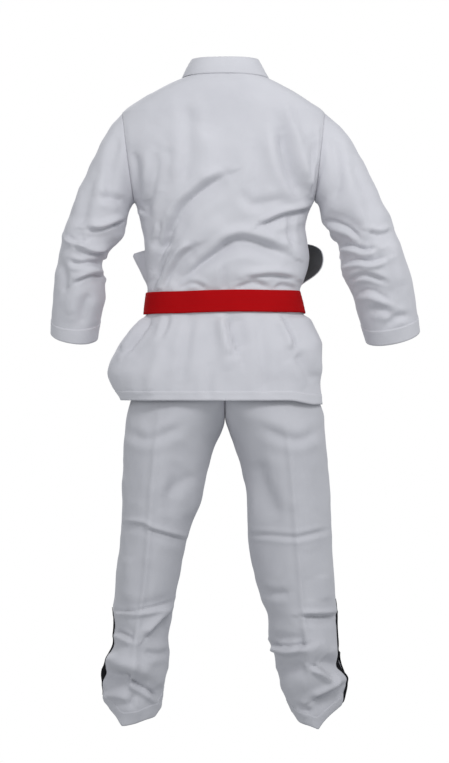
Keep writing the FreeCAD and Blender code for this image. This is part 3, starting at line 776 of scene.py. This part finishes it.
def sleeve_grid(side, rows=136, cols=120):
    """Rings of a sleeve from the armhole to the cuff, the angles round them and the rows' distances."""
    table = np.array(SLEEVE[side], float)
    run = run_of((table[:, :2] + table[:, 2:4]) / 2) + 6 * np.arange(len(table))
    at = np.linspace(0, run[-1], rows)
    keyed = [(start, *row) for start, row in zip(run, SLEEVE[side])]
    outer_x, outer_z, inner_x, inner_z, depth, middle = [smooth(keyed, at, k)[:, None] for k in range(1, 7)]
    phi = np.linspace(0, 2 * math.pi, cols, endpoint=False)
    c, s = ring(phi, 2 / (2 + 0.1 * step(at, 0, 60)[:, None]))
    x = (outer_x + inner_x) / 2 + (outer_x - inner_x) / 2 * c
    z = (outer_z + inner_z) / 2 + (outer_z - inner_z) / 2 * c
    z = z - CUFF_FALL * depth * s * step(at, run[-1] - 190, run[-1] - 20)[:, None]
    return np.stack([x, middle + depth * s, z], axis=-1), phi, at


def make_sleeve(side, name):
    grid, phi, at = sleeve_grid(side)
    length = at[-1]
    elbow = bump(at, length * 0.52, 90)[:, None]
    crush = waves(grid, 46, 31 + side, stretch=(0.5, 0.5, 1.7)) * elbow * 2.0
    crush += (1 - 1.6 * np.abs(waves(grid, 60, 41 + side, count=10, stretch=(0.55, 0.4, 1.6)))) * elbow * 1.5
    mask = step(at, 1, 26)[:, None] * (1 - 0.45 * step(at, length - 46, length - 36))[:, None]
    n = normals(grid, True)
    n = turned(n, n[..., 0] * np.cos(phi) * side)
    h = rumple(grid, 51 + side, 0.8) + crush
    for face, shift in ((1, 0), (-1, -14)):
        h = h + fold_height(drawn(grid), SLEEVE_FOLDS[side], shift) * step(n[..., 1] * face, -0.1, 0.35)
    h = h * mask - 0.25 * (1 - step(at, 0, 5))[:, None]  # tucked under the armhole's edge
    shaped = grid + n * h[..., None]
    rows = int(round(CUFF_WIDTH / (length / len(at)) * 0.92))
    tube = cloth(name + "_sleeve_cloth", shaped[:2 - rows], n[:2 - rows], COTTON, closed=True)
    cloth(name + "_cuff_band", shaped[-rows:], n[-rows:], BANDS, BAND + 0.4, closed=True, lift=1.0)
    return tube, (shaped, n)


# ---------------------------------------------------------------- trousers

LOOP = 144
SEAT_COLUMNS = 52
SEAT_ROWS = 46
LEG_ROWS = 172


def seat_point(psi, z):
    """Points of the seat at angles from the outer side, 90 degrees at the middle of the back."""
    a, b = smooth(SEAT, z, 1), smooth(SEAT, z, 2)
    x = a * np.abs(np.cos(psi)) ** (2 / POWER)
    return np.stack([x, b * power(np.sin(psi), 2 / POWER), z + 0 * x], axis=-1)


def leg_point(side, phi, z):
    """Points of a leg at angles from its outer side, each side of the pressed crease its own width."""
    outer, inner, crease, depth, middle = [smooth(LEG[side], z, k) for k in range(1, 6)]
    c, s = ring(phi, 2 / (1.72 + 0.28 * (1 - step(-z, 708, 840))))
    x = crease + np.where(c > 0, (outer - crease) * c, (crease - inner) * c)
    return np.stack([x, middle + depth * s, z + 0 * x], axis=-1)


def leg_ends(side, phi):
    """Heights of a leg's lower edge round the loop: drawn behind, level in front."""
    edge = LEG_EDGE[side]
    behind = smooth(edge, leg_point(side, phi, np.full(LOOP, -1330.0))[:, 0])
    out_z, in_z = edge[0][1], edge[-1][1]
    before = out_z + (in_z - out_z) * (1 - np.cos(phi)) / 2
    before += (LEG_FRONT_EDGE - out_z) * np.sin(phi) ** 2 * 0.5
    return np.where(np.sin(phi) >= 0, behind, before)


def trouser_grids(side):
    """Seat rows over the outer columns, and leg rows over the whole loop, as one half of the trousers."""
    phi = np.arange(LOOP) * 2 * math.pi / LOOP
    signed = (phi + math.pi) % (2 * math.pi) - math.pi
    limit = SEAT_COLUMNS * 2 * math.pi / LOOP
    outer = np.abs(signed) <= limit + 1e-9
    psi = np.clip(signed / limit, -1, 1) * math.pi / 2
    q = np.clip((phi - limit) / (2 * math.pi - 2 * limit), 0, 1)
    back = smooth(SEAT, CROTCH + RISE, 2)
    y = back * np.cos(math.pi * q)
    seam = np.stack([0 * y, y, CROTCH + RISE * np.abs(y / back) ** 2.4], axis=-1)
    top = np.where(outer[:, None], seat_point(psi, CROTCH + RISE * np.abs(np.sin(psi)) ** 3), seam)
    level = CROTCH + np.linspace(0, 1, LEG_ROWS)[:, None] * (leg_ends(side, phi) - CROTCH)[None, :]
    z = level + (top[:, 2] - CROTCH)[None, :] * (1 - step(-level, -CROTCH - 2, -CROTCH + 110))
    legs = leg_point(side, phi[None, :] + 0 * z, np.minimum(z, CROTCH))
    blend = step(-level, -CROTCH - 2, -CROTCH + 70)[..., None]
    flat = top[None, :, :2] * (1 - blend) + legs[..., :2] * blend
    grid = np.concatenate([flat, z[..., None]], axis=-1)
    columns = np.arange(-SEAT_COLUMNS, SEAT_COLUMNS + 1) % LOOP
    heights = SEAT[0][0] + np.linspace(0, 1, SEAT_ROWS)[:, None] * (grid[0, columns, 2] - SEAT[0][0])[None, :]
    seat = seat_point(psi[columns][None, :] + 0 * heights, heights)
    flip = np.array([side, 1, 1])
    return seat * flip, grid * flip, columns


def trouser_mesh(side):
    """Points, leg rows first, and faces of one half of the trousers, fair from the seat into the leg."""
    seat, leg, columns = trouser_grids(side)
    points = np.concatenate([leg.reshape(-1, 3), seat[:-1].reshape(-1, 3)])
    faces = grid_faces(LEG_ROWS, LOOP, True)
    wide = len(columns)
    for r in range(SEAT_ROWS - 1):
        upper = LEG_ROWS * LOOP + r * wide + np.arange(wide)
        lower = columns if r == SEAT_ROWS - 2 else upper + wide
        faces += np.stack([upper[:-1], upper[1:], lower[1:], lower[:-1]], axis=1).tolist()
    f = np.array(faces)
    for _ in range(26):
        total, count = np.zeros_like(points), np.zeros(len(points))
        for a, b in ((0, 1), (1, 2), (2, 3), (3, 0)):
            np.add.at(total, f[:, a], points[f[:, b]])
            np.add.at(total, f[:, b], points[f[:, a]])
            np.add.at(count, f[:, a], 1)
            np.add.at(count, f[:, b], 1)
        free = step(points[:, 2], -840, -760) * (1 - step(points[:, 2], -640, -600))
        free *= step(np.abs(points[:, 0]), 0.0, 9.0)
        points = points + 0.6 * (total / count[:, None] - points) * free[:, None]
    return points, faces


def make_trousers(side, name):
    points, faces = trouser_mesh(side)
    thing = mesh("trousers_" + name, points, faces, TROUSER, CLOTH)
    n = np.zeros(len(points) * 3)
    thing.data.vertices.foreach_get("normal", n)
    n = n.reshape(-1, 3)
    upper = slice(0, LOOP * 60)
    if (n[upper, 0] * np.sign(points[upper, 0] - side * 120)).mean() < 0:
        n = -n
        thing.data.flip_normals()
    z = points[:, 2]
    h = rumple(points, 71 + side, 0.75)
    crush = bump(z, -1230, 90)
    h += (1 - 1.7 * np.abs(waves(points, 70, 81 + side, count=10, stretch=(0.5, 0.4, 1.5)))) * crush * 2.6
    h += waves(points, 40, 91 + side, stretch=(0.6, 0.6, 1.5)) * (crush + 0.4 * bump(z, -980, 60))
    h += 1.3 * waves(points, 110, 95, stretch=(1.3, 0.8, 0.35)) * step(-z, 720, 860)
    for face, shift, share in ((1, 0, 1.0), (-1, 18, 0.8)):
        h += fold_height(drawn(points), LEG_FOLDS[side], shift, share) * step(n[:, 1] * face, -0.05, 0.35)
    h *= step(np.abs(points[:, 0]), 0, 14) * step(-z, 545, 580)
    points = points + n * h[:, None]
    thing.data.vertices.foreach_set("co", (points * MM).ravel())
    thing.data.update()
    shaped, n = [v[:LEG_ROWS * LOOP].reshape(LEG_ROWS, LOOP, 3) for v in (points, n)]
    rows = int(round(LEG_HEM / ((shaped[0, 0, 2] - shaped[-1, 0, 2]) / LEG_ROWS)))
    cloth(name + "_leg_hem", shaped[-rows:], n[-rows:], TROUSER, BAND, closed=True, lift=0.7)
    return thing, (shaped, n), rows


# ---------------------------------------------------------------- build everything

def put(name, body, slot, *nodes):
    """A finished piece: it rides on a body and stands for CAD nodes, which it hides. The slot is not used."""
    thing = bpy.data.objects[name]
    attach(thing, body)
    if nodes:
        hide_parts(*nodes)


def sewn(name, lines, material, body, slot, pitch=3.6, length=2.5):
    """A piece made of rows of stitches."""
    stitches(name, lines, material, pitch, length)
    put(name, body, slot)


back, back_rows = make_back()
put("back_panel", "jacket", "jacket_cotton", "jacket_back")
put("back_hem", "jacket", "jacket_band", "hem_back")
fronts = {}
for side, name in SIDES:
    fronts[name] = make_front(side, name + "_front")
    put(name + "_front", "jacket", "jacket_cotton", "jacket_front_" + name)
    put(name + "_front_hem", "jacket", "jacket_band", "hem_front_" + name)
band = make_band()
put("collar_and_lapels", "jacket", "jacket_band", "lapel_left", "lapel_right", "collar_band")

sleeves, legs = {}, {}
for side, name in SIDES:
    tube, sleeves[name] = make_sleeve(side, name)
    way = Vector((side * 0.85, 0, -0.53)).normalized()
    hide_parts("sleeve_" + name, "sleeve_head_" + name)
    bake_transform(tube)
    put(name + "_cuff_band", name + "_sleeve", "jacket_band", "cuff_" + name)

for side, name in SIDES:
    half, *legs[name] = make_trousers(side, name)
    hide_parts("seat_" + name, "hip_" + name, "leg_" + name)
    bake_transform(half)
    put(name + "_leg_hem", name + "_leg", "trouser_cotton", "leg_hem_" + name)


# belt: two turns round the waist, a knot and two ends
def belt_turn(name, lift, top, low, seed):
    """One turn of the belt as a closed band; lift is out from the jacket."""
    share = np.linspace(0, 1, 13)[:, None]
    turn = np.arange(260) * 2 * math.pi / 260
    c, s = ring(turn, 2 / POWER)
    left, right = WAIST[0] + 5 * share, WAIST[1] + 12 * share
    x = np.where(c > 0, left * c, right * c) + lift * c
    y = (WAIST[2] + 2.5 * share + lift) * s
    circle = np.stack([300 * np.cos(turn), 300 * np.sin(turn), 0 * turn], axis=-1)
    droop = -2.5 * np.clip(np.cos(turn - 0.9), 0, 1) + 1.5 * np.clip(np.cos(turn - 2.6), 0, 1)
    z = top + (low - top) * share + 2.0 * waves(circle, 260, seed) + droop
    grid = np.stack([x, y, z], axis=-1)
    n = normals(grid, True)
    n = turned(n, n[..., 1] * s)
    puff = 0.5 * np.sin(math.pi * share) + 0.35 * waves(grid, 60, seed + 3)
    grid = grid + n * puff[..., None]
    cloth(name, grid, n, RED, 2.6, closed=True)
    return grid, n


belt_turn("belt_inner_turn", 2.9, -450.5, -493, 3)
put("belt_inner_turn", "jacket", "belt_cotton", "belt_inner_wrap")
belt = belt_turn("belt_outer_turn", 6.2, -449, -494.5, 3)
put("belt_outer_turn", "jacket", "belt_cotton", "belt_outer_wrap")
belt_lines = [line_of(belt, row, closed=True) for row in (1, 3, 5, 6, 7, 9, 11)]


def curve(points):
    """Evenly spaced points on a smooth line through a few points."""
    line = chaikin(points, 4)
    run = run_of(line)
    return along(line, run, np.linspace(0, run[-1], 40))


# name, line, width direction, width and swell
KNOT = [
    ("knot_wrap", [(-3, -113, -440), (-3, -128, -448), (-2, -142, -462), (0, -146, -476), (2, -140, -490),
                   (3, -127, -501), (3, -114, -506)], [(1, 0, 0.12), (1, 0, 0.16)], 33, 2.5),
    ("knot_over", [(-34, -121, -462), (-26, -133, -462), (-12, -147, -468), (6, -150, -478), (22, -140, -488),
                   (31, -126, -494)], [(0.30, 0.1, 1), (0.45, 0.0, 1), (0.25, 0.1, 1)], 34, 3.0),
    ("knot_under", [(34, -121, -464), (27, -131, -464), (16, -139, -470), (2, -142, -480), (-14, -138, -490),
                    (-26, -127, -497)], [(-0.35, 0.1, 1), (-0.5, 0, 1), (-0.3, 0.1, 1)], 32, 2.0)]
for name, points, across, width, puff in KNOT:
    widths = width * (0.86 + 0.14 * np.sin(math.pi * np.linspace(0, 1, 40)))
    kg, kn = ribbon(name, curve(points), curve(across), widths, 3.0, puff)
    put(name, "jacket", "belt_cotton", *(["belt_knot"] if name == "knot_wrap" else []))
    kn = -kn if kn[20, 6, 1] > 0 else kn  # the stitches are on the face that shows
    belt_lines += [line_of((kg, kn), np.s_[:, c]) for c in (1, 4, 8, 11)]

for side, name in SIDES:
    down = np.linspace(0, 1, 66)
    spread, lean = math.radians(9), math.radians(10)
    way = np.array([side * math.sin(spread), -math.sin(lean), -math.cos(spread) * math.cos(lean)])
    path = np.array([side * 25, -131.5, -496]) + way * (down * TAIL_LENGTH)[:, None]
    path[:, 1] += 5 * np.sin(down * math.pi * 1.4 + (0.4 if side > 0 else 1.2)) * down
    path[:, 0] += side * 3 * np.sin(down * math.pi)
    across = np.stack([np.cos(0.14 * down), side * 0.20 * np.sin(down * 2.2 + 0.3),
                       side * math.sin(spread) * np.ones(66)], axis=1)
    width, puff = 27 + 18 * step(down, 0.0, 0.22), 3.0 * np.exp(-down * 3)
    end = ribbon("belt_end_" + name, path, across, width, 3.4, puff)
    put("belt_end_" + name, name + "_belt_tail", "belt_cotton", "belt_tail_" + name)
    lines = [line_of(end, np.s_[:, c]) for c in (0, 2, 4, 6, 8, 10, 12)] + [line_of(end, r) for r in (-2, -5)]
    lines += [(p - up * 3.9, -up) for p, up in lines]
    sewn("belt_end_stitches_" + name, lines, RED_THREAD, name + "_belt_tail", "belt_cotton", 4.0, 2.8)


# inside: yoke lining, label, ties, waistband and elastic
grid, zz = back_grid(6, 100, 3.4)
rows = slice(int((zz[:, 0] > YOKE[0]).sum()), int((zz[:, 0] > YOKE[1]).sum()))
cols = np.where(np.abs(grid[rows, :, 0]).max(0) < YOKE[2])[0]
part = (rows, slice(cols[0], cols[-1] + 1))
mask = (seam_mask(grid, zz) * step(-zz, 4, 22))[part]
yoke = raised(grid[part], BACK_FOLDS, 1, mask, rumple(grid[part], 11, 0.75))
cloth("yoke", *yoke, LINING, 1.2)
put("yoke", "jacket", "lining", "yoke_lining")
x, z = np.meshgrid(np.linspace(-LABEL[2], LABEL[2], 21), np.linspace(LABEL[0], LABEL[1], 24))
label = torso(angle_of(x, z), z, 1, 5.4)
n = normals(label)
cloth("nape_label", label, turned(n, n[..., 1]), THREAD, 0.8)
put("nape_label", "jacket", "lining", "neck_label")

TIES = {"tie_outer_edge": (-112, -1), "tie_outer_seam": (-118, 1), "tie_inner_edge": (112, -1),
        "tie_inner_seam": (118, 1)}  # X, and 1 behind or -1 in front
for name, (x, way) in TIES.items():
    sway = 3 * np.sin(np.linspace(0, 4, 40) + x)
    strip = x + sway[:, None] + np.linspace(-TIE[2], TIE[2], 5)[None, :]
    heights = np.repeat(np.linspace(TIE[0], TIE[1], 40)[:, None], 5, axis=1)
    deep = UNDER + 4.5 + 2.5 * np.sin(np.linspace(0.2, 3.0, 40))[:, None]
    tie = torso(angle_of(strip, heights), heights, way, deep)
    n = normals(tie)
    cloth(name + "_tape", tie, turned(n, n[..., 1] * way), LINING, 1.4)
    put(name + "_tape", "jacket", "lining", name)


def seat_band(name, inset, top, low, material, slot, thick, node, ripple):
    """A gathered band round the top of the seat."""
    turn = np.arange(220) * 2 * math.pi / 220
    share = np.linspace(0, 1, 12)[:, None]
    z = top + (low - top) * share
    c, s = ring(turn, 2 / POWER)
    x, y = (smooth(SEAT, z, 1) - inset) * c, (smooth(SEAT, z, 2) - inset) * s
    grid = np.stack([x, y, z + 0 * x], axis=-1)
    n = normals(grid, True)
    n = turned(n, n[..., 1] * s)
    crimp = ripple * np.sin(turn * 55) * np.sin(math.pi * share)
    cloth(name, grid + n * crimp[..., None], n, material, thick, closed=True)
    put(name, "trousers", slot, node)
    return grid, n


waist = seat_band("waistband_casing", -0.9, -504, -540, TROUSER, "trouser_cotton", 2.4, "waistband", 0.35)
seat_band("elastic_strip", 4.2, -508, -537, ELASTIC, "elastic", 1.4, "waist_elastic", 0.3)

# gusset under the crotch
u = np.linspace(-1, 1, 25)[:, None]
v = np.linspace(-1, 1, 17)[None, :]
half = GUSSET[1] * (1 - np.abs(u) ** 1.6) + 1.5
y = GUSSET[0] * u + 0 * v
z = CROTCH - 1.2 + RISE * np.abs(y / SEAT[-1][2]) ** 2.4 - 9 * (v * half / GUSSET[1]) ** 2
gusset = np.stack([half * v, y, z], axis=-1)
n = normals(gusset)
cloth("crotch_piece", gusset, turned(n, -n[..., 2]), TROUSER, 1.5)
put("crotch_piece", "trousers", "trouser_cotton", "crotch_gusset")

# side tapes, and the stitching
for name, (leg, hem_rows) in legs.items():
    high = int((leg[0][:, 0, 2] > TAPE_TOP).sum())
    tape, n = [v[high:6 - hem_rows][:, np.arange(-2, 6) % LOOP] for v in leg]
    cloth("tape_" + name, tape, n, TAPE, 1.2, lift=1.9)
    put("tape_" + name, name + "_leg", "side_tape", "side_tape_" + name)
    lines = [line_of(leg, row, 1.0, True) for row in (2 - hem_rows, -3)]
    sewn("hem_stitches_" + name, lines, THREAD, name + "_leg", "trouser_cotton")

lines = [line_of(back, row, 1.1) for row in (back_rows + 1, -2)]
lines += [line_of(back, np.s_[12:-6, c]) for c in (2, -3)]
for front, rows in fronts.values():
    lines += [line_of(front, rows + 1, 0.8), line_of(front, np.s_[:-6, -3])]
lines += [line_of(band, np.s_[:, c]) for c in (1, 4, 7, 10, 13)]
sewn("jacket_stitches", lines, THREAD, "jacket", "jacket_band")
for name, sleeve in sleeves.items():
    lines = [line_of(sleeve, -row, 1.25, True) for row in (2, 4, 6, 8, 10)]
    sewn("cuff_stitches_" + name, lines, THREAD, name + "_sleeve", "jacket_band")
sewn("belt_stitches", belt_lines, RED_THREAD, "jacket", "belt_cotton", 4.0, 2.8)
lines = [line_of(waist, row, 0.4, True) for row in (1, -2)]
sewn("waist_stitches", lines, THREAD, "trousers", "trouser_cotton")


# ---------------------------------------------------------------- light, camera, backdrop

def light(name, place, target, energy, size):
    data = bpy.data.lights.new(name, "AREA")
    data.energy = energy
    data.size = size
    thing = bpy.data.objects.new(name, data)
    thing.location = place
    thing.rotation_mode = "QUATERNION"
    thing.rotation_quaternion = (Vector(target) - Vector(place)).to_track_quat("-Z", "Y")
    bpy.context.scene.collection.objects.link(thing)


light("key", (-0.9, 2.6, 1.5), (0, 0, -0.55), 47, 0.9)
light("fill", (1.9, 3.0, 0.2), (0, 0, -0.6), 22, 1.4)
light("side", (-2.6, 0.5, 0.4), (0, 0, -0.6), 10, 1.2)
light("front", (0.8, -2.9, 1.2), (0, 0, -0.6), 52, 1.2)

# the backdrop is white to the camera, and a paler blue to the cloth
world = bpy.data.worlds.new("studio")
bpy.context.scene.world = world
world.use_nodes = True
tree = world.node_tree
tree.nodes.clear()
seen = tree.nodes.new("ShaderNodeBackground")
lit = tree.nodes.new("ShaderNodeBackground")
seen.inputs["Color"].default_value = (1, 1, 1, 1)
lit.inputs["Color"].default_value = (0.94, 0.97, 1.0, 1)
lit.inputs["Strength"].default_value = 0.5
rays = tree.nodes.new("ShaderNodeLightPath")
mixed = tree.nodes.new("ShaderNodeMixShader")
out = tree.nodes.new("ShaderNodeOutputWorld")
tree.links.new(rays.outputs["Is Camera Ray"], mixed.inputs[0])
tree.links.new(lit.outputs[0], mixed.inputs[1])
tree.links.new(seen.outputs[0], mixed.inputs[2])
tree.links.new(mixed.outputs[0], out.inputs[0])

lens = bpy.data.cameras.new("camera")
lens.sensor_width = 36
lens.lens = 112.4
camera = bpy.data.objects.new("camera", lens)
camera.location = (0.001, EYE * MM, AIM * MM)
camera.rotation_euler = (math.radians(90), 0, math.radians(180))
bpy.context.scene.collection.objects.link(camera)
bpy.context.scene.camera = camera
bpy.context.scene.view_settings.view_transform = "Standard"
